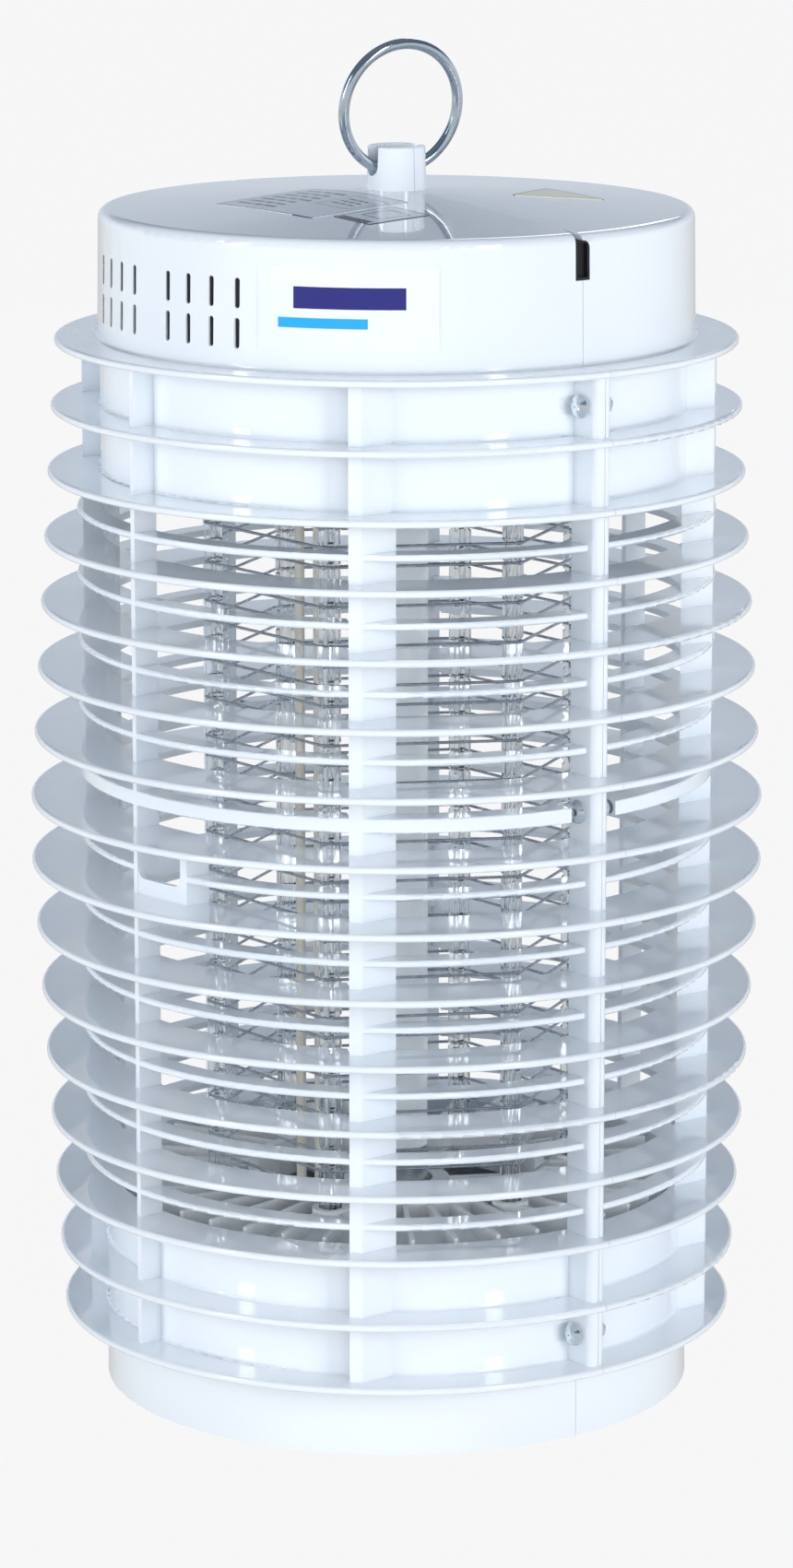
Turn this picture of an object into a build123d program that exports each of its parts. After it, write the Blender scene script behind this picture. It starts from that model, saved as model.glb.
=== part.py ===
from build123d import *
import math
import os

# Lantern-type electric insect killer.  Millimetres, +Z up, origin at the
# centre of the foot ring.  The housing is two identical mouldings that meet
# on the XZ plane: the front one lies on the -Y side.

# ---- housing: fins, walls, canopy --------------------------------------
FIN_COUNT = 16
FIN_PITCH = 26.85
LOW_FIN_Z = 31.5            # mid-plane of the lowest fin
WIDEST_FIN_R = 150.0        # the two middle fins
FIN_R_STEP = 1.65           # each fin above and below is this much smaller
FIN_T = 3.0
FIN_EDGE_R = 1.3
ROOT_FILLET = 1.2           # where a fin meets a closed wall
COLLAR_FINS = 3             # fins on the closed wall at each end

WALL_R = 120.5
WALL_T = 2.5
FOOT_R = 121.0
CANOPY_LOW_R = 121.0
CANOPY_TOP_R = 120.2
CANOPY_EDGE_Z = 487.0
CANOPY_APEX_Z = 495.0
CANOPY_EDGE_FILLET = 4.0

CAGE_IN_R = 119.5           # inner edge of fins and slats in the open cage
SLAT_R = 130.0
SLAT_T = 2.7
SLAT_RISE = 11.7            # slat mid-plane above the fin under it
SLAT_EDGE_R = 1.1
HOOP_H = 6.0                # flat hoop at screw level replaces one slat
HOOP_GAP = 8
WINDOW_GAP = 7              # gap that holds the service window

MID_RIB_T = 2.6
SIDE_RIB_T = 3.6
SIDE_RIB_X = 93.7
RELIEF_W = 9.0              # straight cut beside each side rib
RELIEF_Y = 88.0
SEAM_GAP = 0.1              # each half stands this far off the seam plane

# ---- seam flanges and their screws --------------------------------------
FLANGE_R = 135.0
FLANGE_T = 4.0
FLANGE_EDGE_R = 3.5
SCREW_R = 125.4             # distance of each seam screw from the axis
SCREW_GAPS = (0, 8, 14)     # gaps between fins that hold a screw
SCREW_D = 5.0
SCREW_HOLE_D = 5.3
SCREW_SEAT_R = 6.3
SCREW_SEAT_DEPTH = 7.0      # room cleared in front of each flange for a head or a nut
SCREW_HEAD_D = 9.5
SCREW_HEAD_H = 3.6
NUT_ACROSS = 8.0
NUT_T = 4.0

# ---- canopy details ------------------------------------------------------
VENT_PITCH = 11.5
VENT_COLUMNS = 4            # on each side of the middle
VENT_W = 2.4
VENT_H = 11.9
VENT_ROWS_Z = (449.4, 465.0)
NOTCH_W = 7.0               # cord notch, shared by the two halves
NOTCH_LOW_Z = 469.0
NOTCH_HIGH_Z = 484.5        # where the half that keeps its rim closes over the notch
NOTCH_SHOULDER_R = 3.0
NOTCH_REACH = 13.0          # length of the wedge that opens the canopy's top
BUSH_T = 1.1                # rubber lining of the notch
BUSH_DEPTH = 3.4

BOSS_LOW_R = 12.3
BOSS_TOP_R = 11.6
BOSS_TOP_Z = 511.6
BOSS_BORE_R = 8.4
BOSS_BORE_Z = 497.5         # floor of the hollow in the boss
BOSS_SLOT_W = 7.4           # slot through each side of the boss for the ring
BOSS_SLOT_SHIFT = 0.9       # the two slots are this far off the middle, opposite ways
BOSS_SLOT_Z = 503.6         # centre of the slot's round foot
BRIDGE_HALF = 2.5           # bar across the hollow that hangs on the ring, in each half
BRIDGE_Z = (504.4, 508.4)

RING_R = 25.9               # centre line of the hanging ring
RING_WIRE_R = 2.2
RING_LOW_Z = 501.4          # centre line of the ring at its lowest
RING_LEAN = 8.0             # degrees from upright towards +X
RING_YAW = 8.0              # degrees clockwise from +Y, seen from above

# ---- service window in the front of the cage -----------------------------
WINDOW_POST_X = (27.0, 30.3)
SILL_H = 6.6
SILL_T = 2.4
SILL_CORNER_R = 4.0

# ---- inside: chassis disc, grille, lamp, grid, tray -----------------------
INNER_R = WALL_R - WALL_T
LEDGE_W = 5.0
LEDGE_T = 2.5
PLATE_R = INNER_R - 0.4
DISC_Z = 413.0
DISC_T = 3.0

GRILLE_Z = 70.0             # underside of the grille's rim
GRILLE_T = 5.0
GRILLE_RIM_W = 7.0
GRILLE_TOP_Z = 87.0
VANE_COUNT = 40             # upright vanes round the cage floor
VANE_T = 2.0
VANE_LOW_Z = 71.5
VANE_R = (60.0, 113.0)
VANE_TURN = 2.4             # degrees, first vane from the -Y direction
BRIM_R = (84.0, 111.5)
BRIM_Z = (82.0, 75.0)       # the brim between the vanes falls outwards
BRIM_T = 1.8
VANE_RING_T = 4.0           # ring that joins the vanes' inner ends
SPOKE_COUNT = 6
SPOKE_W = 6.0
SPOKE_H = 8.0
HUB_R = 22.0
HUB_Z = (66.0, 81.0)
SOCKET_R = 7.5
SOCKET_FLOOR_Z = 79.0

LAMP_R = 13.0
GLASS_T = 0.9
LAMP_LOW_Z = 77.0
LAMP_LENGTH = 331.5
CAP_LENGTH = 19.0
PIN_R = 1.17
PIN_LENGTH = 7.1
PIN_SPACING = 12.7
HOLDER_R = 15.0
HOLDER_DEPTH = 19.0
HOLDER_FLANGE_R = 20.0
HOLDER_FLANGE_T = 2.5
ROTOR_R = 9.2
ROTOR_H = 8.0
TURN_PLAY = 0.35

POST_COUNT = 6
POST_CIRCLE_R = 74.0
POST_R = 4.75               # over the tips of the post's cross section
POST_WEB_T = 2.2
POST_CORE_R = 2.5
POST_TURN = 32.0            # degrees, first post from the -Y direction
WIRE_R = 0.6
WIRE_STEP = 8.0
GRID_LOW_Z = 96.0
GRID_TURNS = 36
GROOVE_R = 4.0
GROOVE_H = (0.9, 2.8)       # at its floor and at the tips

LEAD_RADII = (2.0, 1.3)
LEAD_CIRCLE_R = 54.0
LEAD_TURNS = (7.0, 16.6)    # degrees from the -Y direction
LEAD_FOOT_Z = 77.0          # where the leads turn in to the lower lamp holder
LEAD_BEND_R = 12.0

TRAY_R = 116.6
TRAY_T = 2.0
TRAY_LOW_Z = 3.0
TRAY_H = 30.0
TRAY_DISH_R = 104.6         # the flat floor stands TRAY_STEP above the rim's foot
TRAY_STEP = 4.0
TRAY_BAR = (50.0, 4.0, 4.0) # finger bar under the floor


def fin_z(index):
    return LOW_FIN_Z + index * FIN_PITCH


def fin_r(index):
    steps = max(0.0, abs(index - (FIN_COUNT - 1) / 2) - 0.5)
    return WIDEST_FIN_R - steps * FIN_R_STEP


def gap_mid_z(gap):
    return fin_z(gap) + FIN_PITCH / 2


def polar(radius, degrees, z=0.0):
    """A point at an angle counted from -Y towards +X."""
    turn = math.radians(degrees)
    return (radius * math.sin(turn), -radius * math.cos(turn), z)


def outline(*points):
    """A face in the plane of radius and height."""
    return make_face(Polyline(*points, close=True))


def band(r_in, r_out, z_mid, height):
    return outline(
        (r_in, z_mid - height / 2),
        (r_out, z_mid - height / 2),
        (r_out, z_mid + height / 2),
        (r_in, z_mid + height / 2),
    )


def near(vertex, r, z):
    return abs(vertex.X - r) < 0.02 and abs(vertex.Y - z) < 0.02


def half_turn(profile):
    """Revolve a radius-height face through the half on the -Y side."""
    solid = revolve(Plane.XZ * profile, Axis.Z, 180)
    return solid.rotate(Axis.Z, 180)


def full_turn(profile):
    return revolve(Plane.XZ * profile, Axis.Z, 360)


def block(x, y, z):
    """A box from (low, high) pairs."""
    centre = ((x[0] + x[1]) / 2, (y[0] + y[1]) / 2, (z[0] + z[1]) / 2)
    return Pos(*centre) * Box(x[1] - x[0], y[1] - y[0], z[1] - z[0])


def along_y(radius, x, z, y_low, y_high):
    rod = Cylinder(radius, y_high - y_low)
    return Pos(x, (y_low + y_high) / 2, z) * Rot(90, 0, 0) * rod


def wall_r_at(z):
    """Outer radius of the canopy wall, which has a little draft."""
    low_z = fin_z(FIN_COUNT - 1)
    share = (z - low_z) / (CANOPY_EDGE_Z - low_z)
    return CANOPY_LOW_R + share * (CANOPY_TOP_R - CANOPY_LOW_R)


def canopy_z_at(radius):
    """Height of the canopy's shallow cone."""
    share = radius / CANOPY_TOP_R
    return CANOPY_APEX_Z + share * (CANOPY_EDGE_Z - CANOPY_APEX_Z)


def with_rims(profile, indices, wall_at):
    """Add fins to a wall profile, rounded at the rim and filleted at the root."""
    for index in indices:
        profile += band(INNER_R, fin_r(index), fin_z(index), FIN_T)
    for index in indices:
        for side in (-FIN_T / 2, FIN_T / 2):
            z = fin_z(index) + side
            tips = [v for v in profile.vertices() if near(v, fin_r(index), z)]
            profile = fillet(tips, FIN_EDGE_R)
    for index in indices:
        for side in (-FIN_T / 2, FIN_T / 2):
            z = fin_z(index) + side
            roots = [v for v in profile.vertices()
                     if abs(v.Y - z) < 0.02 and abs(v.X - wall_at(z)) < 0.2]
            if roots:
                profile = fillet(roots, ROOT_FILLET)
    return profile


def foot_collar():
    top_z = fin_z(COLLAR_FINS - 1) + FIN_T / 2
    wall = outline((INNER_R, 0), (FOOT_R, 0), (WALL_R, fin_z(0)),
                   (WALL_R, top_z), (INNER_R, top_z))
    wall += band(INNER_R - LEDGE_W, INNER_R + 0.5, GRILLE_Z - LEDGE_T / 2, LEDGE_T)
    above = GRILLE_Z + GRILLE_T + 0.2 + LEDGE_T / 2
    wall += band(INNER_R - LEDGE_W / 2, INNER_R + 0.5, above, LEDGE_T)

    def wall_at(z):
        share = min(z, fin_z(0)) / fin_z(0)
        return FOOT_R + share * (WALL_R - FOOT_R)

    return with_rims(wall, range(COLLAR_FINS), wall_at)


def canopy_collar():
    first = FIN_COUNT - COLLAR_FINS
    low_z = fin_z(first) - FIN_T / 2
    top_fin_z = fin_z(FIN_COUNT - 1)
    outer = outline((0, low_z), (WALL_R, low_z), (WALL_R, top_fin_z),
                    (CANOPY_LOW_R, top_fin_z), (CANOPY_TOP_R, CANOPY_EDGE_Z),
                    (0, CANOPY_APEX_Z))
    inner = outline((0, low_z), (INNER_R, low_z), (INNER_R, CANOPY_EDGE_Z - WALL_T),
                    (0, CANOPY_APEX_Z - WALL_T))
    wall = outer - inner
    wall += band(INNER_R - LEDGE_W, INNER_R + 0.5, DISC_Z - LEDGE_T / 2, LEDGE_T)
    above = DISC_Z + DISC_T + 0.2 + LEDGE_T / 2
    wall += band(INNER_R - LEDGE_W / 2, INNER_R + 0.5, above, LEDGE_T)
    edge = [v for v in wall.vertices() if near(v, CANOPY_TOP_R, CANOPY_EDGE_Z)]
    wall = fillet(edge, CANOPY_EDGE_FILLET)

    def wall_at(z):
        return WALL_R if z < top_fin_z else wall_r_at(z)

    return with_rims(wall, range(first, FIN_COUNT), wall_at)


def rounded_band(r_in, r_out, z_mid, height, edge_r):
    face = band(r_in, r_out, z_mid, height)
    tips = [v for v in face.vertices() if abs(v.X - r_out) < 0.01]
    return fillet(tips, edge_r)


def cage_fins():
    for index in range(COLLAR_FINS, FIN_COUNT - COLLAR_FINS):
        profile = rounded_band(CAGE_IN_R, fin_r(index), fin_z(index), FIN_T, FIN_EDGE_R)
        yield half_turn(profile)


def cage_slats():
    """One narrow slat in each open gap, and the flat hoop at screw level."""
    for gap in range(COLLAR_FINS - 1, FIN_COUNT - COLLAR_FINS):
        if gap == HOOP_GAP:
            profile = rounded_band(CAGE_IN_R, SLAT_R, gap_mid_z(gap), HOOP_H, 0.6)
        else:
            profile = rounded_band(CAGE_IN_R, SLAT_R, fin_z(gap) + SLAT_RISE, SLAT_T,
                                   SLAT_EDGE_R)
        slat = half_turn(profile)
        if gap == WINDOW_GAP:
            low = fin_z(gap) + FIN_T
            high = fin_z(gap + 1) - FIN_T
            slat -= block((0, WINDOW_POST_X[0] + 1), (-140, -100), (low, high))
        yield slat


def draw_rib(x_mid, thickness, z_low, z_high):
    """A plate in the mould's draw direction, trimmed to the slats' ring."""
    ring = Cylinder(SLAT_R, z_high - z_low) - Cylinder(CAGE_IN_R - 0.1, z_high - z_low)
    ring = Pos(0, 0, (z_low + z_high) / 2) * ring
    plate = block((x_mid - thickness / 2, x_mid + thickness / 2), (-SLAT_R - 1, 0),
                  (z_low, z_high))
    return ring & plate


def seam_flange(side):
    z_low = fin_z(0)
    z_high = fin_z(FIN_COUNT - 1)
    plate = block((CAGE_IN_R, FLANGE_R), (-FLANGE_T, -SEAM_GAP), (z_low, z_high))
    edge = [e for e in plate.edges().filter_by(Axis.Z)
            if e.center().X > FLANGE_R - 0.1 and e.center().Y < -FLANGE_T + 0.1]
    plate = fillet(edge, FLANGE_EDGE_R)
    return plate if side > 0 else mirror(plate, Plane.YZ)


def service_window():
    """Short post and low sill that frame the opening beside the middle rib."""
    z_low = fin_z(WINDOW_GAP)
    z_high = fin_z(WINDOW_GAP + 1)
    post_x = WINDOW_POST_X
    post = draw_rib(sum(post_x) / 2, post_x[1] - post_x[0], z_low, z_high)
    sill_top = z_low + FIN_T / 2 + SILL_H
    sheet = block((0, post_x[0] + 0.5), (-SLAT_R - 1, -100), (z_low, sill_top + 8))
    opening_mid = (MID_RIB_T / 2 + post_x[0]) / 2
    opening_w = post_x[0] - MID_RIB_T / 2
    hole = Plane.XZ * Pos(opening_mid, sill_top + 15) * RectangleRounded(
        opening_w, 30, SILL_CORNER_R)
    sheet -= extrude(hole, amount=150, both=True)
    ring = Cylinder(SLAT_R - 0.4, 60) - Cylinder(SLAT_R - 0.4 - SILL_T, 60)
    return [post, sheet & (Pos(0, 0, (z_low + z_high) / 2) * ring)]


def rib_reliefs():
    """Straight cuts in the inner edges, on each side rib's face towards the middle."""
    z_low = fin_z(COLLAR_FINS - 1) + FIN_T
    z_high = fin_z(FIN_COUNT - COLLAR_FINS) - FIN_T
    face_x = SIDE_RIB_X - SIDE_RIB_T / 2
    for side in (-1, 1):
        x = sorted((side * (face_x - RELIEF_W), side * face_x))
        yield block(x, (-RELIEF_Y, -60), (z_low, z_high))


def vent_slots():
    for row_z in VENT_ROWS_Z:
        for column in range(1, VENT_COLUMNS + 1):
            for side in (-1, 1):
                hole = Plane.XZ * Pos(side * column * VENT_PITCH, row_z) * Rot(0, 0, 90) * \
                    SlotOverall(VENT_H, VENT_W)
                yield extrude(hole, amount=140)


def open_cord_notch():
    """The notch's half in the +X end, which runs out through the canopy's top."""
    edge_x = CANOPY_TOP_R + 2
    wall_cut = block((INNER_R - 1, edge_x), (-NOTCH_W / 2, 1), (NOTCH_LOW_Z, CANOPY_APEX_Z))
    tip_x = CANOPY_TOP_R - NOTCH_REACH
    wedge = make_face(Polyline((tip_x, 1), (tip_x, 0), (INNER_R - 1, -NOTCH_W / 2), (edge_x, -NOTCH_W / 2),
                               (edge_x, 1), close=True))
    return wall_cut + extrude(Pos(0, 0, NOTCH_HIGH_Z) * wedge, amount=CANOPY_APEX_Z - NOTCH_HIGH_Z)


def closed_cord_notch():
    """The half in the -X end, with a rounded shoulder under the canopy's rim."""
    cut = block((-FLANGE_R, -INNER_R + 1), (-NOTCH_W / 2, NOTCH_W / 2), (NOTCH_LOW_Z, NOTCH_HIGH_Z))
    shoulders = cut.edges().filter_by(Axis.X).group_by(Axis.Z)[-1]
    return fillet(shoulders, NOTCH_SHOULDER_R)


def cord_bush():
    """Rubber lining of the cord notch, closed at its back by a thin skin."""
    half = NOTCH_W / 2
    back_x = CANOPY_TOP_R - BUSH_DEPTH
    body = block((back_x, FLANGE_R), (-half, half), (NOTCH_LOW_Z, NOTCH_HIGH_Z))
    shoulder = [e for e in body.edges().filter_by(Axis.X)
                if e.center().Y > 0 and e.center().Z > NOTCH_HIGH_Z - 1]
    body = fillet(shoulder, NOTCH_SHOULDER_R)
    body -= block((back_x + BUSH_T, FLANGE_R + 1), (-half + BUSH_T, half - BUSH_T),
                  (NOTCH_LOW_Z + BUSH_T, NOTCH_HIGH_Z - BUSH_T))
    inside = full_turn(outline((0, NOTCH_LOW_Z - 1), (wall_r_at(NOTCH_LOW_Z - 1) - 0.1, NOTCH_LOW_Z - 1),
                               (CANOPY_TOP_R - 0.1, CANOPY_EDGE_Z - CANOPY_EDGE_FILLET),
                               (CANOPY_TOP_R - 1.2, CANOPY_EDGE_Z - 1), (0, CANOPY_EDGE_Z - 1)))
    return body & inside


def ring_slot():
    """Slot along Y with a round foot, open at the boss's top; this is the -Y side's."""
    half = BOSS_SLOT_W / 2
    foot = along_y(half, -BOSS_SLOT_SHIFT, BOSS_SLOT_Z, -20, -5)
    return foot + block((-BOSS_SLOT_SHIFT - half, -BOSS_SLOT_SHIFT + half), (-20, -5),
                        (BOSS_SLOT_Z, BOSS_TOP_Z + 1))


def hanging_boss():
    low_z = canopy_z_at(BOSS_LOW_R) - WALL_T
    profile = outline((0, low_z), (BOSS_LOW_R, low_z), (BOSS_TOP_R, BOSS_TOP_Z),
                      (0, BOSS_TOP_Z))
    rim = [v for v in profile.vertices() if near(v, BOSS_TOP_R, BOSS_TOP_Z)]
    return full_turn(fillet(rim, 0.8))


def boss_hollow():
    bore_h = BOSS_TOP_Z + 1 - BOSS_BORE_Z
    return Pos(0, 0, BOSS_BORE_Z + bore_h / 2) * Cylinder(BOSS_BORE_R, bore_h)


def one_moulding():
    """The half of the housing on the -Y side; the other is turned 180 degrees."""
    shell = half_turn(foot_collar()) + half_turn(canopy_collar())
    shell += hanging_boss()
    shell -= [boss_hollow(), ring_slot()]
    shell += block((-BOSS_BORE_R - 0.5, BOSS_BORE_R + 0.5), (-BRIDGE_HALF, 0), BRIDGE_Z)
    shell += list(cage_fins())
    shell += list(cage_slats())
    z_low = fin_z(0)
    z_high = fin_z(FIN_COUNT - 1)
    shell += [draw_rib(0, MID_RIB_T, z_low, z_high),
              draw_rib(SIDE_RIB_X, SIDE_RIB_T, z_low, z_high),
              draw_rib(-SIDE_RIB_X, SIDE_RIB_T, z_low, z_high)]
    shell += service_window()
    shell -= list(rib_reliefs())
    shell -= list(vent_slots())
    shell -= block((-200, 200), (-SEAM_GAP, 200), (-10, 600))
    shell += [seam_flange(1), seam_flange(-1)]
    shell -= [open_cord_notch(), closed_cord_notch()]
    for gap in SCREW_GAPS:
        for side in (-1, 1):
            x = side * SCREW_R
            z = gap_mid_z(gap)
            shell -= along_y(SCREW_HOLE_D / 2, x, z, -20, 1)
            shell -= along_y(SCREW_SEAT_R, x, z, -FLANGE_T - SCREW_SEAT_DEPTH, -FLANGE_T)
    return shell


def cross_recess(depth):
    """A tapered cross, point down, for a screw head."""
    wing = Pos(0, 0, -depth / 2) * Box(4.6, 1.0, depth)
    return wing + Rot(0, 0, 90) * wing


def pan_head_screw(diameter, length, head_d, head_h):
    """Head above the XY plane, shank below it."""
    profile = make_face([
        Line((0, 0), (head_d / 2, 0)),
        Line((head_d / 2, 0), (head_d / 2, head_h * 0.35)),
        ThreePointArc((head_d / 2, head_h * 0.35), (head_d * 0.36, head_h * 0.86), (0, head_h)),
        Line((0, head_h), (0, 0)),
    ])
    head = revolve(Plane.XZ * profile, Axis.Z, 360)
    head -= Pos(0, 0, head_h + 0.1) * cross_recess(head_h * 0.6)
    shank = Pos(0, 0, -length / 2) * Cylinder(diameter / 2, length)
    tip = shank.edges().group_by(Axis.Z)[0]
    return head + chamfer(tip, 0.5)


def hex_nut(across, thickness, bore):
    nut = extrude(RegularPolygon(across / 2, 6, major_radius=False), amount=thickness)
    corner_r = across / 2 / math.cos(math.pi / 6)
    cone = full_turn(outline((0, 0), (corner_r, 0), (corner_r, thickness - 0.6),
                             (across / 2, thickness), (0, thickness)))
    return (nut & cone) - Pos(0, 0, thickness / 2) * Cylinder(bore / 2, thickness + 1)


def seam_places():
    for gap in SCREW_GAPS:
        for side in (-1, 1):
            yield side * SCREW_R, gap_mid_z(gap)


def seam_screws():
    length = 2 * FLANGE_T + NUT_T + 2.0
    screw = pan_head_screw(SCREW_D, length, SCREW_HEAD_D, SCREW_HEAD_H)
    turned = Rot(90, 0, 0) * Rot(0, 0, 38) * screw
    return [Pos(x, -FLANGE_T, z) * turned for x, z in seam_places()]


def seam_nuts():
    nut = Rot(-90, 0, 0) * Rot(0, 0, 20) * hex_nut(NUT_ACROSS, NUT_T, SCREW_D)
    return [Pos(x, FLANGE_T, z) * nut for x, z in seam_places()]


def hanging_ring():
    ring = Pos(0, 0, RING_R) * Rot(0, 90, 0) * Torus(RING_R, RING_WIRE_R)
    return Pos(0, 0, RING_LOW_Z) * Rot(0, 0, -RING_YAW) * Rot(0, RING_LEAN, 0) * ring


# ---- labels ---------------------------------------------------------------
LABEL_T = 0.2
BADGE_TURNS = (27.0, 61.0)
BADGE_Z = (444.2, 476.8)


def front_badge():
    """Film on the canopy wall, which it follows."""
    low, high = BADGE_Z
    profile = outline((wall_r_at(low), low), (wall_r_at(low) + LABEL_T, low),
                      (wall_r_at(high) + LABEL_T, high), (wall_r_at(high), high))
    film = revolve(Plane.XZ * profile, Axis.Z, BADGE_TURNS[1] - BADGE_TURNS[0])
    return film.rotate(Axis.Z, BADGE_TURNS[0] - 90)


def top_label(corners, corner_r):
    """A film that lies on the canopy's cone."""
    face = fillet(make_face(Polyline(*corners, close=True)).vertices(), corner_r)
    column = extrude(Pos(0, 0, CANOPY_EDGE_Z - 1) * face, amount=12)
    edge_r = CANOPY_TOP_R
    skin = full_turn(outline((0, CANOPY_APEX_Z), (edge_r, CANOPY_EDGE_Z),
                             (edge_r, CANOPY_EDGE_Z + LABEL_T), (0, CANOPY_APEX_Z + LABEL_T)))
    return column & skin


# ---- chassis ----------------------------------------------------------------
def chassis_disc():
    disc = Pos(0, 0, DISC_Z + DISC_T / 2) * Cylinder(PLATE_R, DISC_T)
    disc -= Pos(0, 0, DISC_Z + DISC_T / 2) * Cylinder(HOLDER_R + 0.1, DISC_T + 1)
    for turn, radius in zip(LEAD_TURNS, LEAD_RADII):
        x, y, z = polar(LEAD_CIRCLE_R, turn, DISC_Z + DISC_T / 2)
        disc -= Pos(x, y, z) * Cylinder(radius + 0.2, DISC_T + 1)
    return disc


def ring_between(r_in, r_out, z_low, z_high):
    height = z_high - z_low
    return Pos(0, 0, (z_low + z_high) / 2) * (Cylinder(r_out, height) - Cylinder(r_in, height))


def post_places():
    return [polar(POST_CIRCLE_R, POST_TURN + k * 360 / POST_COUNT) for k in range(POST_COUNT)]


def grille_vane(turn):
    """Upright radial plate whose outer end is rounded."""
    r_in, r_out = VANE_R
    height = GRILLE_TOP_Z - VANE_LOW_Z
    mid_z = (GRILLE_TOP_Z + VANE_LOW_Z) / 2
    vane = block((-VANE_T / 2, VANE_T / 2), (-r_out + VANE_T / 2, -r_in),
                 (VANE_LOW_Z, GRILLE_TOP_Z))
    vane += Pos(0, -r_out + VANE_T / 2, mid_z) * Cylinder(VANE_T / 2, height)
    return vane.rotate(Axis.Z, turn)


def lower_grille():
    """Cage floor: a ring of vanes over a sloping brim, and a hub on spokes for the lamp."""
    rim_top = GRILLE_Z + GRILLE_T
    vane_in = VANE_R[0]
    grille = ring_between(PLATE_R - GRILLE_RIM_W, PLATE_R, GRILLE_Z, rim_top)
    grille += ring_between(vane_in - VANE_RING_T / 2, vane_in + VANE_RING_T / 2,
                           VANE_LOW_Z, GRILLE_TOP_Z)
    grille += ring_between(HOLDER_R + 0.1, HUB_R, *HUB_Z)
    grille += full_turn(outline(
        (BRIM_R[0], BRIM_Z[0]), (BRIM_R[1], BRIM_Z[1]),
        (BRIM_R[1], GRILLE_Z + 1), (BRIM_R[1] - BRIM_T, GRILLE_Z + 1),
        (BRIM_R[1] - BRIM_T, BRIM_Z[1] - BRIM_T), (BRIM_R[0], BRIM_Z[0] - BRIM_T)))
    grille += [grille_vane(VANE_TURN + k * 360 / VANE_COUNT) for k in range(VANE_COUNT)]
    for k in range(SPOKE_COUNT):
        spoke = block((-SPOKE_W / 2, SPOKE_W / 2), (-vane_in, -HUB_R + 1),
                      (VANE_LOW_Z, VANE_LOW_Z + SPOKE_H))
        grille += spoke.rotate(Axis.Z, POST_TURN + k * 360 / SPOKE_COUNT)
    top_z = GRILLE_TOP_Z + 1
    sockets = [Pos(x, y, (VANE_LOW_Z + top_z) / 2) * Cylinder(SOCKET_R, top_z - VANE_LOW_Z)
               for x, y, z in post_places()]
    bores = [Pos(x, y, (SOCKET_FLOOR_Z + top_z) / 2 + 0.5) *
             Cylinder(POST_R + 0.05, top_z - SOCKET_FLOOR_Z + 1) for x, y, z in post_places()]
    grille += sockets
    return grille - bores


def grid_post(turn):
    """Clear post of cross-shaped section, notched at the tips for every wire."""
    length = DISC_Z - SOCKET_FLOOR_Z
    section = Circle(POST_CORE_R) + Rectangle(2 * POST_R, POST_WEB_T) + Rectangle(POST_WEB_T, 2 * POST_R)
    post = extrude(section & Circle(POST_R), amount=length)
    tip_r = POST_R + 0.5
    floor_h, tip_h = GROOVE_H
    notches = []
    for step in range(GRID_TURNS):
        z = GRID_LOW_Z - SOCKET_FLOOR_Z + step * WIRE_STEP
        notches.append(full_turn(outline((GROOVE_R, z - floor_h / 2), (tip_r, z - tip_h / 2),
                                         (tip_r, z + tip_h / 2), (GROOVE_R, z + floor_h / 2))))
    post -= notches
    x, y, z = polar(POST_CIRCLE_R, 0)
    return (Pos(x, y, SOCKET_FLOOR_Z) * post).rotate(Axis.Z, turn)


def grid_loops(first):
    """Every second wire of the grid, each drawn tight round the six posts."""
    corners = RegularPolygon(POST_CIRCLE_R, POST_COUNT, rotation=POST_TURN - 90)
    path = offset(corners, amount=GROOVE_R + WIRE_R + 0.02, kind=Kind.ARC).wires()[0]
    section = Plane(origin=path.position_at(0.04), z_dir=path.tangent_at(0.04)) * Circle(WIRE_R)
    loop = sweep(section, path=path)
    return [Pos(0, 0, GRID_LOW_Z + step * WIRE_STEP) * loop
            for step in range(first, GRID_TURNS, 2)]


def lead_wire(number):
    """Insulated lead from the canopy down the cage and in to the hub."""
    top_z = DISC_Z + DISC_T + 6
    path = FilletPolyline((0, -LEAD_CIRCLE_R, top_z), (0, -LEAD_CIRCLE_R, LEAD_FOOT_Z),
                          (0, -HUB_R - 0.3, LEAD_FOOT_Z), radius=LEAD_BEND_R)
    section = Plane(origin=path @ 0, z_dir=path % 0) * Circle(LEAD_RADII[number])
    return sweep(section, path=path).rotate(Axis.Z, LEAD_TURNS[number])


# ---- lamp and its holders ------------------------------------------------------
LAMP_HIGH_Z = LAMP_LOW_Z + LAMP_LENGTH


def lamp_glass():
    length = LAMP_LENGTH - 2 * CAP_LENGTH
    tube = Cylinder(LAMP_R, length) - Cylinder(LAMP_R - GLASS_T, length)
    return Pos(0, 0, LAMP_LOW_Z + LAMP_LENGTH / 2) * tube


def lamp_cap(top):
    """Thin metal cup with its open end on the glass."""
    cup = full_turn(outline((0, 0), (LAMP_R - 1.2, 0), (LAMP_R, 1.2), (LAMP_R, CAP_LENGTH),
                            (LAMP_R - GLASS_T, CAP_LENGTH), (LAMP_R - GLASS_T, 1.6), (0, 1.6)))
    if top:
        return Pos(0, 0, LAMP_HIGH_Z) * Rot(180, 0, 0) * cup
    return Pos(0, 0, LAMP_LOW_Z) * cup


def lamp_pins():
    pins = []
    for side in (-1, 1):
        x = side * PIN_SPACING / 2
        pins.append(Pos(x, 0, LAMP_HIGH_Z + PIN_LENGTH / 2) * Cylinder(PIN_R, PIN_LENGTH))
        pins.append(Pos(x, 0, LAMP_LOW_Z - PIN_LENGTH / 2) * Cylinder(PIN_R, PIN_LENGTH))
    return pins


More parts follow.
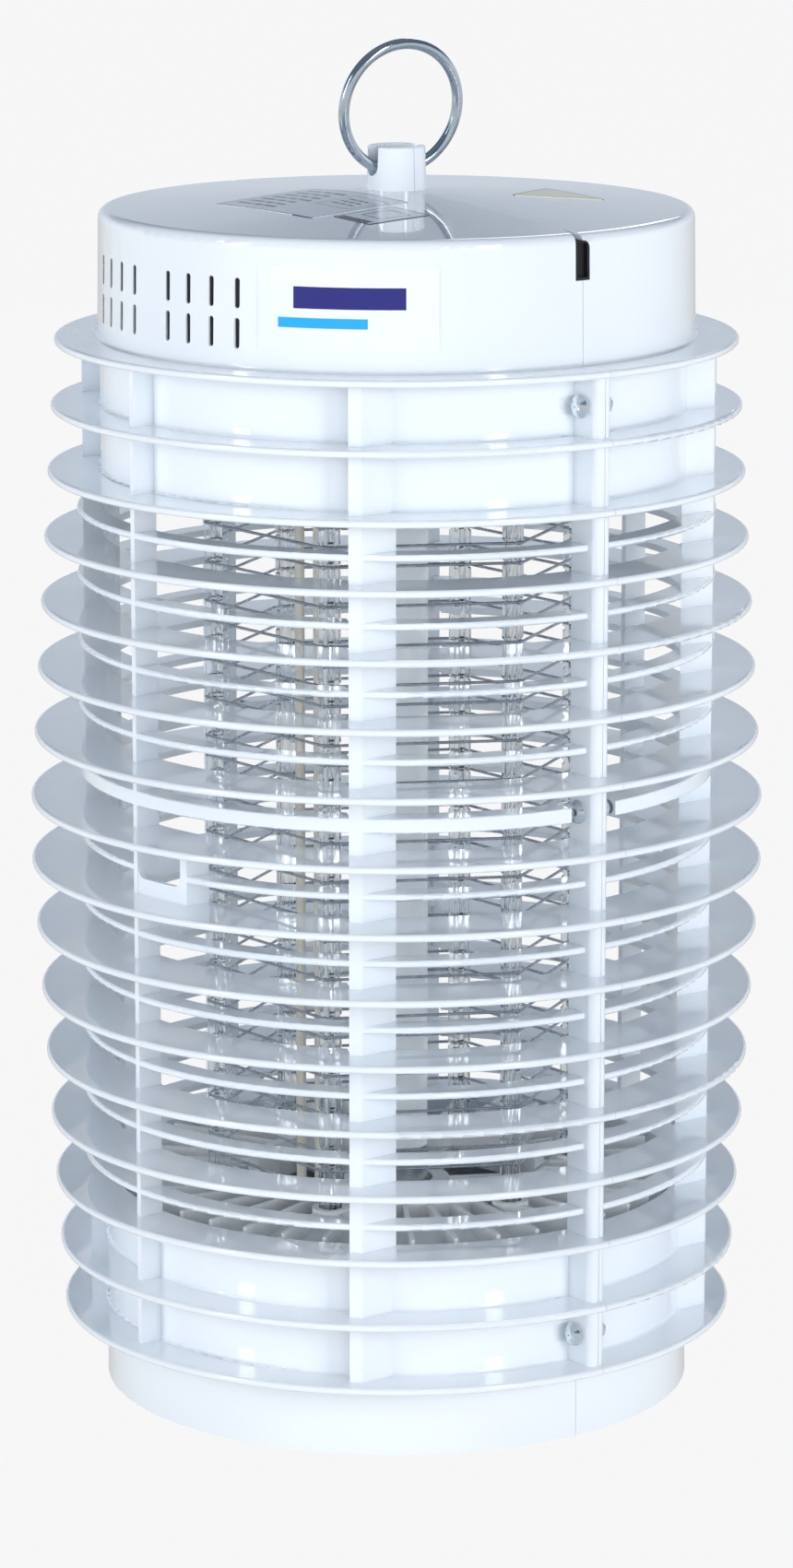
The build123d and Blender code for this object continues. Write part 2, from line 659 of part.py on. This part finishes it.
def holder_rotor(top):
    """Turns with the lamp's pins and locks them at a quarter turn."""
    rotor = Pos(0, 0, -0.4 - ROTOR_H / 2) * Cylinder(ROTOR_R, ROTOR_H)
    for side in (-1, 1):
        rotor -= Pos(side * PIN_SPACING / 2, 0, -ROTOR_H / 2) * Cylinder(PIN_R + 0.02, ROTOR_H + 2)
    if top:
        return Pos(0, 0, LAMP_HIGH_Z) * Rot(180, 0, 0) * rotor
    return Pos(0, 0, LAMP_LOW_Z) * rotor


def lamp_holder(top):
    """Round pedestal with a well for the rotor; its flange rests on the chassis."""
    body = Pos(0, 0, -0.5 - HOLDER_DEPTH / 2) * Cylinder(HOLDER_R, HOLDER_DEPTH)
    well = 0.4 + ROTOR_H + TURN_PLAY
    body -= Pos(0, 0, -well / 2) * Cylinder(ROTOR_R + TURN_PLAY, well)
    if top:
        body = Pos(0, 0, LAMP_HIGH_Z) * Rot(180, 0, 0) * body
        flange_low = DISC_Z + DISC_T
    else:
        body = Pos(0, 0, LAMP_LOW_Z) * body
        flange_low = HUB_Z[0] - HOLDER_FLANGE_T
    return body + ring_between(HOLDER_R - 1, HOLDER_FLANGE_R, flange_low, flange_low + HOLDER_FLANGE_T)


# ---- electrical parts in the canopy ----------------------------------------------
DISC_TOP_Z = DISC_Z + DISC_T
BALLAST_SIZE = (92.0, 40.0, 30.0)
BALLAST_PLACE = (0.0, 62.0)
BALLAST_FOOT = (104.0, 24.0, 1.5)
TRANSFORMER_SIZE = (48.0, 40.0, 36.0)
TRANSFORMER_PLACE = (-62.0, -28.0)
STARTER_PLACE = (60.0, -45.0)
STARTER_R = 10.75
STARTER_H = 36.0
STARTER_SOCKET_R = 14.0
STARTER_SOCKET_H = 12.0
STARTER_FLOOR = 6.0         # thickness of the socket under the starter
TERMINAL_PLACE = (0.0, -72.0)
TERMINAL_BASE = (32.0, 17.0, 8.0)
TERMINAL_TOWER = (8.0, 10.0, 8.0)
TERMINAL_PITCH = 10.0
TERMINAL_BORE_R = 2.2


def on_disc(place, size):
    """A box that stands on the chassis disc."""
    return Pos(place[0], place[1], DISC_TOP_Z + size[2] / 2) * Box(*size)


def ballast():
    """Choke: laminated core with its coil's ends showing, on a footed plate."""
    length, width, height = BALLAST_SIZE
    core = on_disc(BALLAST_PLACE, (length * 0.8, width, height))
    core = fillet(core.edges().filter_by(Axis.X), 1.5)
    coil = on_disc(BALLAST_PLACE, (length * 0.92, width * 0.6, height * 0.56))
    coil = Pos(0, 0, height * 0.22) * coil
    return core + coil + on_disc(BALLAST_PLACE, BALLAST_FOOT)


def transformer():
    """High-voltage transformer: core with a wound bobbin through it."""
    length, width, height = TRANSFORMER_SIZE
    core = on_disc(TRANSFORMER_PLACE, (length, width * 0.5, height))
    bobbin = on_disc(TRANSFORMER_PLACE, (length * 0.62, width, height * 0.66))
    return core + Pos(0, 0, height * 0.17) * fillet(bobbin.edges(), 3.0)


def starter_socket():
    body = Cylinder(STARTER_SOCKET_R, STARTER_SOCKET_H)
    body = Pos(*STARTER_PLACE, DISC_TOP_Z + STARTER_SOCKET_H / 2) * body
    well_h = STARTER_SOCKET_H - STARTER_FLOOR
    well = Cylinder(STARTER_R + 0.45, well_h + 0.02)
    return body - Pos(*STARTER_PLACE, DISC_TOP_Z + STARTER_FLOOR + well_h / 2) * well


def starter():
    low_z = DISC_TOP_Z + STARTER_FLOOR + 0.3
    can = Pos(*STARTER_PLACE, low_z + STARTER_H / 2) * Cylinder(STARTER_R, STARTER_H)
    return fillet(can.edges().group_by(Axis.Z)[-1], 1.5)


def terminal_block():
    """Three screw terminals on one base."""
    x, y = TERMINAL_PLACE
    rail = on_disc(TERMINAL_PLACE, TERMINAL_BASE)
    top_z = DISC_TOP_Z + TERMINAL_BASE[2]
    for step in (-1, 0, 1):
        tower_x = x + step * TERMINAL_PITCH
        tower = Pos(tower_x, y, top_z + TERMINAL_TOWER[2] / 2 - 2) * Box(*TERMINAL_TOWER)
        bore = Pos(tower_x, y, top_z + TERMINAL_TOWER[2] / 2) * Cylinder(TERMINAL_BORE_R, 6)
        rail += tower - bore
    return rail


def chassis_screws():
    screw = pan_head_screw(3.0, DISC_T + 3, 5.6, 2.2)
    x, y = BALLAST_PLACE
    reach = (BALLAST_SIZE[0] * 0.92 + BALLAST_FOOT[0]) / 4
    return [Pos(x + side * reach, y, DISC_TOP_Z + BALLAST_FOOT[2]) * screw for side in (-1, 1)]


# ---- catch tray -------------------------------------------------------------------
def catch_tray():
    """Shallow dish that drops out of the foot, with a finger bar under it."""
    floor_z = TRAY_LOW_Z + TRAY_STEP
    wall_in = TRAY_R - TRAY_T
    top_z = TRAY_LOW_Z + TRAY_H
    profile = outline((0, floor_z), (TRAY_DISH_R, floor_z), (wall_in, TRAY_LOW_Z),
                      (TRAY_R, TRAY_LOW_Z), (TRAY_R, top_z), (wall_in, top_z),
                      (wall_in, TRAY_LOW_Z + TRAY_T + 1), (TRAY_DISH_R, floor_z + TRAY_T),
                      (0, floor_z + TRAY_T))
    bar = Pos(0, 0, floor_z + 0.5 - TRAY_BAR[2] / 2) * Box(*TRAY_BAR)
    return full_turn(profile) + bar


def build_parts():
    front = one_moulding()
    disc = chassis_disc()
    screws = chassis_screws()
    ballast_part = ballast()
    for screw in screws:
        disc -= screw
        ballast_part -= screw
    parts = {
        "front_shell": front,
        "rear_shell": front.rotate(Axis.Z, 180),
        "hang_ring": hanging_ring(),
        "seam_screws": Compound(children=seam_screws()),
        "seam_nuts": Compound(children=seam_nuts()),
        "cord_bush": cord_bush(),
        "front_badge": front_badge(),
        "rating_label": top_label([(-27, -70.5), (35, -68), (33, -18.5), (-29, -21)], 1.5),
        "symbol_label": top_label([(38, -59.5), (62, -59.5), (60, -28.5), (36.5, -29)], 1.0),
        "triangle_label": top_label([(9, 70), (51, 68), (32, 33)], 2.0),
        "chassis_disc": disc,
        "chassis_screws": Compound(children=screws),
        "ballast": ballast_part,
        "hv_transformer": transformer(),
        "starter_socket": starter_socket(),
        "starter": starter(),
        "terminal_block": terminal_block(),
        "lower_grille": lower_grille(),
        "upper_holder": lamp_holder(True),
        "lower_holder": lamp_holder(False),
        "upper_rotor": holder_rotor(True),
        "lower_rotor": holder_rotor(False),
        "lamp_glass": lamp_glass(),
        "lamp_cap_upper": lamp_cap(True),
        "lamp_cap_lower": lamp_cap(False),
        "lamp_pins": Compound(children=lamp_pins()),
        "grid_wire_live": Compound(children=grid_loops(0)),
        "grid_wire_return": Compound(children=grid_loops(1)),
        "lead_wire_1": lead_wire(0),
        "lead_wire_2": lead_wire(1),
        "catch_tray": catch_tray(),
    }
    for step in range(POST_COUNT):
        parts[f"grid_post_{step + 1}"] = grid_post(POST_TURN + step * 360 / POST_COUNT)
    return parts


os.makedirs("parts", exist_ok=True)
for name, shape in build_parts().items():
    export_step(shape, f"parts/{name}.step")
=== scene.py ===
import math

import bpy
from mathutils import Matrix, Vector


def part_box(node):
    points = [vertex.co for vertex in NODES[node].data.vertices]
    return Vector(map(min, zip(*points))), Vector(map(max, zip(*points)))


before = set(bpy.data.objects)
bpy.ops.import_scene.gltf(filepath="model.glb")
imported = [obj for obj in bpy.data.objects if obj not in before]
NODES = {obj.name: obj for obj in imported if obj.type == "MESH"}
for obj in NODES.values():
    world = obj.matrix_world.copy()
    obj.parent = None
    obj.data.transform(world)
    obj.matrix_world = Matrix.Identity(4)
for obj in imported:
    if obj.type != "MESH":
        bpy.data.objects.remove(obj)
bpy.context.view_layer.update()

# ---- the camera: the photograph's viewing angle ----------------------------
CAMERA_BEARING = 53.2                   # degrees from -Y towards +X
CAMERA_AZIMUTH = math.radians(CAMERA_BEARING)
CAMERA_REACH = 2.3093                   # horizontal distance from the axis
CAMERA_HEIGHT = 0.7467
CAMERA_TILT = math.radians(12.17)       # downwards
CAMERA_LENS = 131.7

# ---- sizes read from the frame -----------------------------------------------
BADGE_LOW, BADGE_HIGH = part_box("front_badge")
BADGE_END = math.radians(61.0)          # bearing of the badge's end nearest the seam
CANOPY_R = BADGE_HIGH[0] / math.sin(BADGE_END)      # outside of the canopy wall
# painted shade: faces nearer the axis than this skin, at the height of the vents, are painted dark
CANOPY_SKIN = 0.0011                    # outermost part of the wall, which stays white beside a vent
VENT_Z = (BADGE_LOW[2] - 0.008, BADGE_HIGH[2] + 0.002)


# ---- node helpers ------------------------------------------------------------
def new_material(name):
    material = bpy.data.materials.new(name)
    material.use_nodes = True
    tree = material.node_tree
    tree.nodes.clear()
    output = tree.nodes.new("ShaderNodeOutputMaterial")
    shader = tree.nodes.new("ShaderNodeBsdfPrincipled")
    tree.links.new(shader.outputs["BSDF"], output.inputs["Surface"])
    return material, tree, shader


def noise(tree, scale, detail):
    place = tree.nodes.new("ShaderNodeTexCoord")
    texture = tree.nodes.new("ShaderNodeTexNoise")
    texture.inputs["Scale"].default_value = scale
    texture.inputs["Detail"].default_value = detail
    tree.links.new(place.outputs["Object"], texture.inputs["Vector"])
    return texture.outputs["Fac"]


def ramp(tree, value, stops):
    node = tree.nodes.new("ShaderNodeValToRGB")
    elements = node.color_ramp.elements
    while len(elements) < len(stops):
        elements.new(0.5)
    for element, (position, colour) in zip(elements, stops):
        element.position = position
        element.color = (*colour, 1)
    tree.links.new(value, node.inputs["Fac"])
    return node.outputs["Color"]


def spread(tree, value, low, high):
    """Stretch the middle of a noise to the range low to high."""
    node = tree.nodes.new("ShaderNodeMapRange")
    node.inputs["From Min"].default_value = 0.3
    node.inputs["From Max"].default_value = 0.7
    node.inputs["To Min"].default_value = low
    node.inputs["To Max"].default_value = high
    tree.links.new(value, node.inputs["Value"])
    return node.outputs["Result"]


def bump(tree, shader, height, strength, distance):
    node = tree.nodes.new("ShaderNodeBump")
    node.inputs["Strength"].default_value = strength
    node.inputs["Distance"].default_value = distance
    tree.links.new(height, node.inputs["Height"])
    tree.links.new(node.outputs["Normal"], shader.inputs["Normal"])


def arithmetic(tree, operation, first, second):
    node = tree.nodes.new("ShaderNodeMath")
    node.operation = operation
    for socket, value in zip(node.inputs, (first, second)):
        if isinstance(value, (int, float)):
            socket.default_value = value
        else:
            tree.links.new(value, socket)
    return node.outputs[0]


def between(tree, value, low, high):
    """1 where the value lies between low and high, else 0."""
    above = arithmetic(tree, "GREATER_THAN", value, low)
    below = arithmetic(tree, "LESS_THAN", value, high)
    return arithmetic(tree, "MULTIPLY", above, below)


def patch(tree, across, up, x, y):
    """1 inside a rectangle given by its x range and y range."""
    return arithmetic(tree, "MULTIPLY", between(tree, across, *x), between(tree, up, *y))


def over(tree, base, mask, ink):
    """Lay an ink over a colour where the mask is 1."""
    node = tree.nodes.new("ShaderNodeMix")
    node.data_type = "RGBA"
    tree.links.new(mask, node.inputs["Factor"])
    tree.links.new(base, node.inputs["A"])
    node.inputs["B"].default_value = (*ink, 1)
    return node.outputs["Result"]


def place_of(tree):
    """The surface point's own X, Y and Z."""
    place = tree.nodes.new("ShaderNodeTexCoord")
    split = tree.nodes.new("ShaderNodeSeparateXYZ")
    tree.links.new(place.outputs["Object"], split.inputs["Vector"])
    return split.outputs["X"], split.outputs["Y"], split.outputs["Z"]


def canopy_shade_mask(tree):
    """1 on the faces within the canopy wall at the height of the vents, with the sides of the vents: the
    zone painted dark as shade.
    """
    x, y, z = place_of(tree)
    square = arithmetic(tree, "ADD", arithmetic(tree, "MULTIPLY", x, x), arithmetic(tree, "MULTIPLY", y, y))
    radius = arithmetic(tree, "SQRT", square, 0.0)
    inner = arithmetic(tree, "LESS_THAN", radius, CANOPY_R - CANOPY_SKIN)
    return arithmetic(tree, "MULTIPLY", between(tree, z, *VENT_Z), inner)


def moulded_plastic(name, dark, light, rough, ior=1.5, coat=0.0, grain=1400.0, ripple=(0.08, 0.0002),
                    painted_shade=None):
    """Moulded plastic: cloudy colour, uneven polish, ripple; the optional last colour is dark painted shade
    on the canopy's inner faces and the sides of the vents.
    """
    material, tree, shader = new_material(name)
    cloud = noise(tree, 9.0, 2.0)
    colour = ramp(tree, cloud, [(0.35, dark), (0.65, light)])
    # painted shade: the canopy's inner faces and the vents' sides take a near-black colour
    if painted_shade:
        colour = over(tree, colour, canopy_shade_mask(tree), painted_shade)
    tree.links.new(colour, shader.inputs["Base Color"])
    polish = noise(tree, 60.0, 4.0)
    tree.links.new(spread(tree, polish, *rough), shader.inputs["Roughness"])
    shader.inputs["IOR"].default_value = ior
    shader.inputs["Coat Weight"].default_value = coat
    shader.inputs["Coat Roughness"].default_value = 0.03
    bump(tree, shader, noise(tree, grain, 2.0), *ripple)
    return material


def plated_metal(name, dark, light, rough):
    """Metal: patchy tone, fine marks and uneven gloss."""
    material, tree, shader = new_material(name)
    tone = noise(tree, 160.0, 4.0)
    tree.links.new(ramp(tree, tone, [(0.3, dark), (0.7, light)]), shader.inputs["Base Color"])
    shader.inputs["Metallic"].default_value = 1.0
    mark = noise(tree, 900.0, 3.0)
    tree.links.new(spread(tree, mark, *rough), shader.inputs["Roughness"])
    bump(tree, shader, mark, 0.15, 0.0001)
    return material


def clear_plastic(name, tint, rough):
    """Clear moulding with a faint cloud in its tint and polish."""
    material, tree, shader = new_material(name)
    cloud = noise(tree, 120.0, 2.0)
    pale = tuple(min(1.0, c + 0.03) for c in tint)
    tree.links.new(ramp(tree, cloud, [(0.3, tint), (0.7, pale)]), shader.inputs["Base Color"])
    tree.links.new(spread(tree, cloud, *rough), shader.inputs["Roughness"])
    shader.inputs["IOR"].default_value = 1.49
    shader.inputs["Transmission Weight"].default_value = 1.0
    return material


def dress(material, *nodes):
    """Give CAD nodes a finish through their material slots."""
    for node in nodes:
        mesh = NODES[node].data
        mesh.materials.clear()
        mesh.materials.append(material)


# ---- finishes -------------------------------------------------------------------
# the near-black last colour is painted shade in the canopy's depth and on the vents' sides
shell_white = moulded_plastic("shell_white", (0.80, 0.86, 0.92), (0.84, 0.89, 0.94), (0.06, 0.12),
                              coat=1.0, grain=45.0, ripple=(0.15, 0.0002), painted_shade=(0.08, 0.08, 0.09))
inner_white = moulded_plastic("inner_white", (0.80, 0.82, 0.84), (0.85, 0.87, 0.88), (0.3, 0.42))
bright_wire = plated_metal("bright_wire", (0.58, 0.66, 0.72), (0.76, 0.82, 0.88), (0.10, 0.16))
zinc = plated_metal("zinc", (0.74, 0.80, 0.83), (0.90, 0.94, 0.96), (0.16, 0.26))
grid_steel = plated_metal("grid_steel", (0.42, 0.45, 0.50), (0.62, 0.65, 0.70), (0.2, 0.3))
lamp_metal = plated_metal("lamp_metal", (0.66, 0.67, 0.69), (0.80, 0.81, 0.82), (0.28, 0.4))
pin_brass = plated_metal("pin_brass", (0.62, 0.48, 0.24), (0.80, 0.66, 0.38), (0.2, 0.3))
core_steel = plated_metal("core_steel", (0.06, 0.06, 0.07), (0.12, 0.12, 0.13), (0.4, 0.6))
starter_can = plated_metal("starter_can", (0.70, 0.71, 0.72), (0.82, 0.82, 0.83), (0.25, 0.35))
clear_post = clear_plastic("clear_post", (0.93, 0.96, 0.98), (0.03, 0.10))
lamp_glass = moulded_plastic("lamp_glass", (0.90, 0.95, 0.99), (0.93, 0.97, 1.0), (0.03, 0.06), 1.52, 0.3,
                             ripple=(0.05, 0.0001))
black_rubber = moulded_plastic("black_rubber", (0.012, 0.012, 0.014), (0.02, 0.02, 0.023), (0.45, 0.6))
lead_cream = moulded_plastic("lead_cream", (0.74, 0.71, 0.62), (0.80, 0.77, 0.69), (0.35, 0.5))


# ---- printed films ----------------------------------------------------------------
NAVY = (0.004, 0.006, 0.19)
SKY_BLUE = (0.0, 0.40, 0.85)
FILM_GREY = (0.06, 0.07, 0.10)
FILM_BLACK = (0.015, 0.015, 0.02)
EDGE_HALF = 0.0004          # half the width of the line round a label


def near_line(tree, x, y, start, end, half_width):
    """1 within half_width of the line through two points."""
    run = Vector((end[0] - start[0], end[1] - start[1])).normalized()
    across = arithmetic(tree, "MULTIPLY", arithmetic(tree, "SUBTRACT", x, start[0]), run.y)
    along = arithmetic(tree, "MULTIPLY", arithmetic(tree, "SUBTRACT", y, start[1]), run.x)
    return between(tree, arithmetic(tree, "SUBTRACT", across, along), -half_width, half_width)


def corners_of(node, directions):
    """The corners of a label, each the vertex that lies furthest in one direction."""
    points = [vertex.co for vertex in NODES[node].data.vertices]
    for across, up in directions:
        corner = max(points, key=lambda point: across * point.x + up * point.y)
        yield corner.x, corner.y


def film(name, dark, light, prints, where="top", rough=(0.06, 0.12), gloss=0.5, coat=1.0, outline=()):
    """Printed film: cloudy base, patches of ink as (x range, y range, colour) in metres, edge line."""
    material, tree, shader = new_material(name)
    x, y, z = place_of(tree)
    if where == "wall":
        turn = arithmetic(tree, "ARCTAN2", x, arithmetic(tree, "MULTIPLY", y, -1.0))
        x, y = arithmetic(tree, "MULTIPLY", turn, CANOPY_R), z
    colour = ramp(tree, noise(tree, 30.0, 2.0), [(0.35, dark), (0.65, light)])
    for x_range, y_range, ink in prints:
        colour = over(tree, colour, patch(tree, x, y, x_range, y_range), ink)
    corners = list(outline)
    for start, end in zip(corners, corners[1:] + corners[:1]):
        colour = over(tree, colour, near_line(tree, x, y, start, end, EDGE_HALF), FILM_GREY)
    tree.links.new(colour, shader.inputs["Base Color"])
    tree.links.new(spread(tree, noise(tree, 80.0, 3.0), *rough), shader.inputs["Roughness"])
    shader.inputs["IOR"].default_value = 1.5
    shader.inputs["Specular IOR Level"].default_value = gloss
    shader.inputs["Coat Weight"].default_value = coat
    return material


def text_rows(x_range, y_range, rows, ink):
    """Grey dashes that stand for rows of small print."""
    pitch = (y_range[1] - y_range[0]) / rows
    for row in range(rows):
        y = y_range[0] + (row + 0.3) * pitch
        width = x_range[1] - x_range[0]
        start = x_range[0]
        for share, gap in ((0.34, 0.04), (0.2, 0.05), (0.28 - 0.05 * (row % 3), 0.0)):
            yield (start, start + share * width), (y, y + 0.4 * pitch), ink
            start += (share + gap) * width


def frame_lines(x, y, width, ink):
    """Four thin lines round a rectangle."""
    yield x, (y[0], y[0] + width), ink
    yield x, (y[1] - width, y[1]), ink
    yield (x[0], x[0] + width), y, ink
    yield (x[1] - width, x[1]), y, ink


def on_wall(degrees):
    """Distance round the canopy wall to a bearing."""
    return math.radians(degrees) * CANOPY_R


badge_mid = (BADGE_LOW[2] + BADGE_HIGH[2]) / 2
badge = film("badge", (0.81, 0.87, 0.925), (0.85, 0.895, 0.945), [
    ((on_wall(34.0), on_wall(55.0)), (badge_mid, badge_mid + 0.0085), NAVY),
    ((on_wall(31.0), on_wall(48.0)), (badge_mid - 0.0075, badge_mid - 0.0035), SKY_BLUE),
], where="wall")

rating_low, rating_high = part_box("rating_label")
rating_prints = list(text_rows((rating_low[0] + 0.006, rating_low[0] + 0.034),
                               (rating_low[1] + 0.006, rating_high[1] - 0.006), 7, FILM_GREY))
rating_prints += frame_lines((rating_low[0] + 0.037, rating_high[0] - 0.005),
                             (rating_low[1] + 0.024, rating_high[1] - 0.007), 0.0005, FILM_GREY)
rating_prints += text_rows((rating_low[0] + 0.040, rating_high[0] - 0.008),
                           (rating_low[1] + 0.028, rating_high[1] - 0.011), 3, FILM_GREY)
SQUARE = ((-1, -1), (1, -1), (1, 1), (-1, 1))
PRINTED = {"rough": (0.14, 0.22), "gloss": 0.3, "coat": 0.0}      # films on the canopy's top
silver_label = film("silver_label", (0.76, 0.82, 0.90), (0.82, 0.87, 0.94), rating_prints,
                    outline=corners_of("rating_label", SQUARE), **PRINTED)

symbol_low, symbol_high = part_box("symbol_label")
symbol_label = film("symbol_label", (0.76, 0.82, 0.90), (0.82, 0.87, 0.94), [
    ((symbol_low[0] + 0.003, symbol_high[0] - 0.003), (symbol_low[1] + 0.0005, symbol_low[1] + 0.0045),
     FILM_BLACK),
    *frame_lines((symbol_low[0] + 0.006, symbol_high[0] - 0.006),
                 (symbol_low[1] + 0.010, symbol_high[1] - 0.006), 0.0008, FILM_GREY),
], outline=corners_of("symbol_label", SQUARE), **PRINTED)
yellow_label = film("yellow_label", (0.88, 0.85, 0.60), (0.94, 0.91, 0.66), [],
                    outline=corners_of("triangle_label", ((-1, 1), (1, 0.5), (0, -1))), **PRINTED)


# ---- every CAD node's finish ------------------------------------------------------
dress(shell_white, "front_shell", "rear_shell")
dress(inner_white, "lower_grille", "chassis_disc", "catch_tray", "upper_holder", "lower_holder",
      "upper_rotor", "lower_rotor", "starter_socket", "terminal_block")
dress(bright_wire, "hang_ring")
dress(zinc, "seam_screws", "seam_nuts", "chassis_screws")
dress(grid_steel, "grid_wire_live", "grid_wire_return")
dress(lamp_metal, "lamp_cap_upper", "lamp_cap_lower")
dress(pin_brass, "lamp_pins")
dress(core_steel, "ballast", "hv_transformer")
dress(starter_can, "starter")
dress(clear_post, *(f"grid_post_{k}" for k in range(1, 7)))
dress(lamp_glass, "lamp_glass")
dress(lead_cream, "lead_wire_1", "lead_wire_2")
dress(black_rubber, "cord_bush")
dress(badge, "front_badge")
dress(silver_label, "rating_label")
dress(symbol_label, "symbol_label")
dress(yellow_label, "triangle_label")


# ---- studio -----------------------------------------------------------------------
BACKDROP = (0.925, 0.925, 0.925)
FLOOR_LIGHT = 0.62          # share of the backdrop's brightness that the floor gives the object
STUDIO_MIDDLE = Vector((0, 0, 0.26))


def floor_material():
    """Plain pale floor of the backdrop's own tone."""
    material, tree, shader = new_material("studio_floor")
    mottle = ramp(tree, noise(tree, 1.5, 2.0), [(0.3, (0.004, 0.004, 0.005)), (0.7, (0.005, 0.005, 0.006))])
    tree.links.new(mottle, shader.inputs["Base Color"])
    shader.inputs["Roughness"].default_value = 0.7
    shader.inputs["Specular IOR Level"].default_value = 0.0
    shader.inputs["Emission Color"].default_value = (*BACKDROP, 1)
    path = tree.nodes.new("ShaderNodeLightPath")
    strength = tree.nodes.new("ShaderNodeMapRange")
    strength.inputs["To Min"].default_value = FLOOR_LIGHT
    strength.inputs["To Max"].default_value = 1.0
    tree.links.new(path.outputs["Is Camera Ray"], strength.inputs["Value"])
    tree.links.new(strength.outputs["Result"], shader.inputs["Emission Strength"])
    return material


bpy.ops.mesh.primitive_plane_add(size=14.0, location=(0, 0, 0))
floor = bpy.context.object
floor.name = "studio_floor"
floor.data.materials.append(floor_material())


def studio_world():
    """Backdrop where the camera sees it; for light and reflections, pale low down and dark overhead."""
    world = bpy.data.worlds.new("studio")
    world.use_nodes = True
    tree = world.node_tree
    tree.nodes.clear()
    output = tree.nodes.new("ShaderNodeOutputWorld")
    background = tree.nodes.new("ShaderNodeBackground")
    place = tree.nodes.new("ShaderNodeTexCoord")
    split = tree.nodes.new("ShaderNodeSeparateXYZ")
    tree.links.new(place.outputs["Generated"], split.inputs["Vector"])
    sky = ramp(tree, split.outputs["Z"], [
        (0.04, (0.60, 0.66, 0.74)), (0.20, (0.54, 0.60, 0.68)), (0.31, (0.15, 0.19, 0.26)),
        (0.45, (0.10, 0.13, 0.18)), (0.8, (0.13, 0.16, 0.20)), (1.0, (0.16, 0.18, 0.22))])
    path = tree.nodes.new("ShaderNodeLightPath")
    mix = tree.nodes.new("ShaderNodeMix")
    mix.data_type = "RGBA"
    tree.links.new(path.outputs["Is Camera Ray"], mix.inputs["Factor"])
    tree.links.new(sky, mix.inputs["A"])
    mix.inputs["B"].default_value = (*BACKDROP, 1)
    tree.links.new(mix.outputs["Result"], background.inputs["Color"])
    tree.links.new(background.outputs["Background"], output.inputs["Surface"])
    bpy.context.scene.world = world


studio_world()


def softbox(name, turn, elevation, distance, width, height, power, mirrored):
    """Rectangular light that faces the object, turned this many degrees from the camera's bearing."""
    azimuth, elevation = math.radians(CAMERA_BEARING + turn), math.radians(elevation)
    place = STUDIO_MIDDLE + distance * Vector((
        math.sin(azimuth) * math.cos(elevation),
        -math.cos(azimuth) * math.cos(elevation),
        math.sin(elevation)))
    data = bpy.data.lights.new(name, "AREA")
    data.shape = "RECTANGLE"
    data.size, data.size_y = width, height
    data.energy = power
    light = bpy.data.objects.new(name, data)
    bpy.context.scene.collection.objects.link(light)
    light.location = place
    light.visible_camera = False
    light.visible_glossy = mirrored
    light.rotation_euler = (STUDIO_MIDDLE - place).to_track_quat("-Z", "Y").to_euler()


# name, turn, elevation, distance, width, height, power, seen in reflections
for light_row in (
    ("key_left", -62, 4, 2.6, 1.3, 1.9, 32, False),
    ("key_right", 44, 1, 2.6, 1.0, 1.9, 34, False),
    ("front", 4, 3, 3.4, 2.4, 1.8, 40, False),
    ("back", 180, 2, 3.4, 2.4, 1.8, 24, False),
    ("back_left", -130, 2, 2.8, 0.9, 1.8, 26, False),
    ("back_right", 120, 2, 2.8, 0.9, 1.8, 26, False),
    ("glint_left", -60, 24, 2.6, 0.3, 1.3, 8, True),
    ("glint_right", 38, 24, 2.6, 0.3, 1.3, 8, True),
    ("glint_back", 170, 30, 2.8, 0.6, 1.0, 4, True),
):
    softbox(*light_row)

camera_data = bpy.data.cameras.new("camera")
camera_data.lens = CAMERA_LENS
camera_data.sensor_width = 36.0
camera = bpy.data.objects.new("camera", camera_data)
bpy.context.scene.collection.objects.link(camera)
camera.location = (CAMERA_REACH * math.sin(CAMERA_AZIMUTH), -CAMERA_REACH * math.cos(CAMERA_AZIMUTH),
                   CAMERA_HEIGHT)
camera.rotation_euler = (math.pi / 2 - CAMERA_TILT, 0, CAMERA_AZIMUTH)
bpy.context.scene.camera = camera
bpy.context.scene.view_settings.view_transform = "Standard"
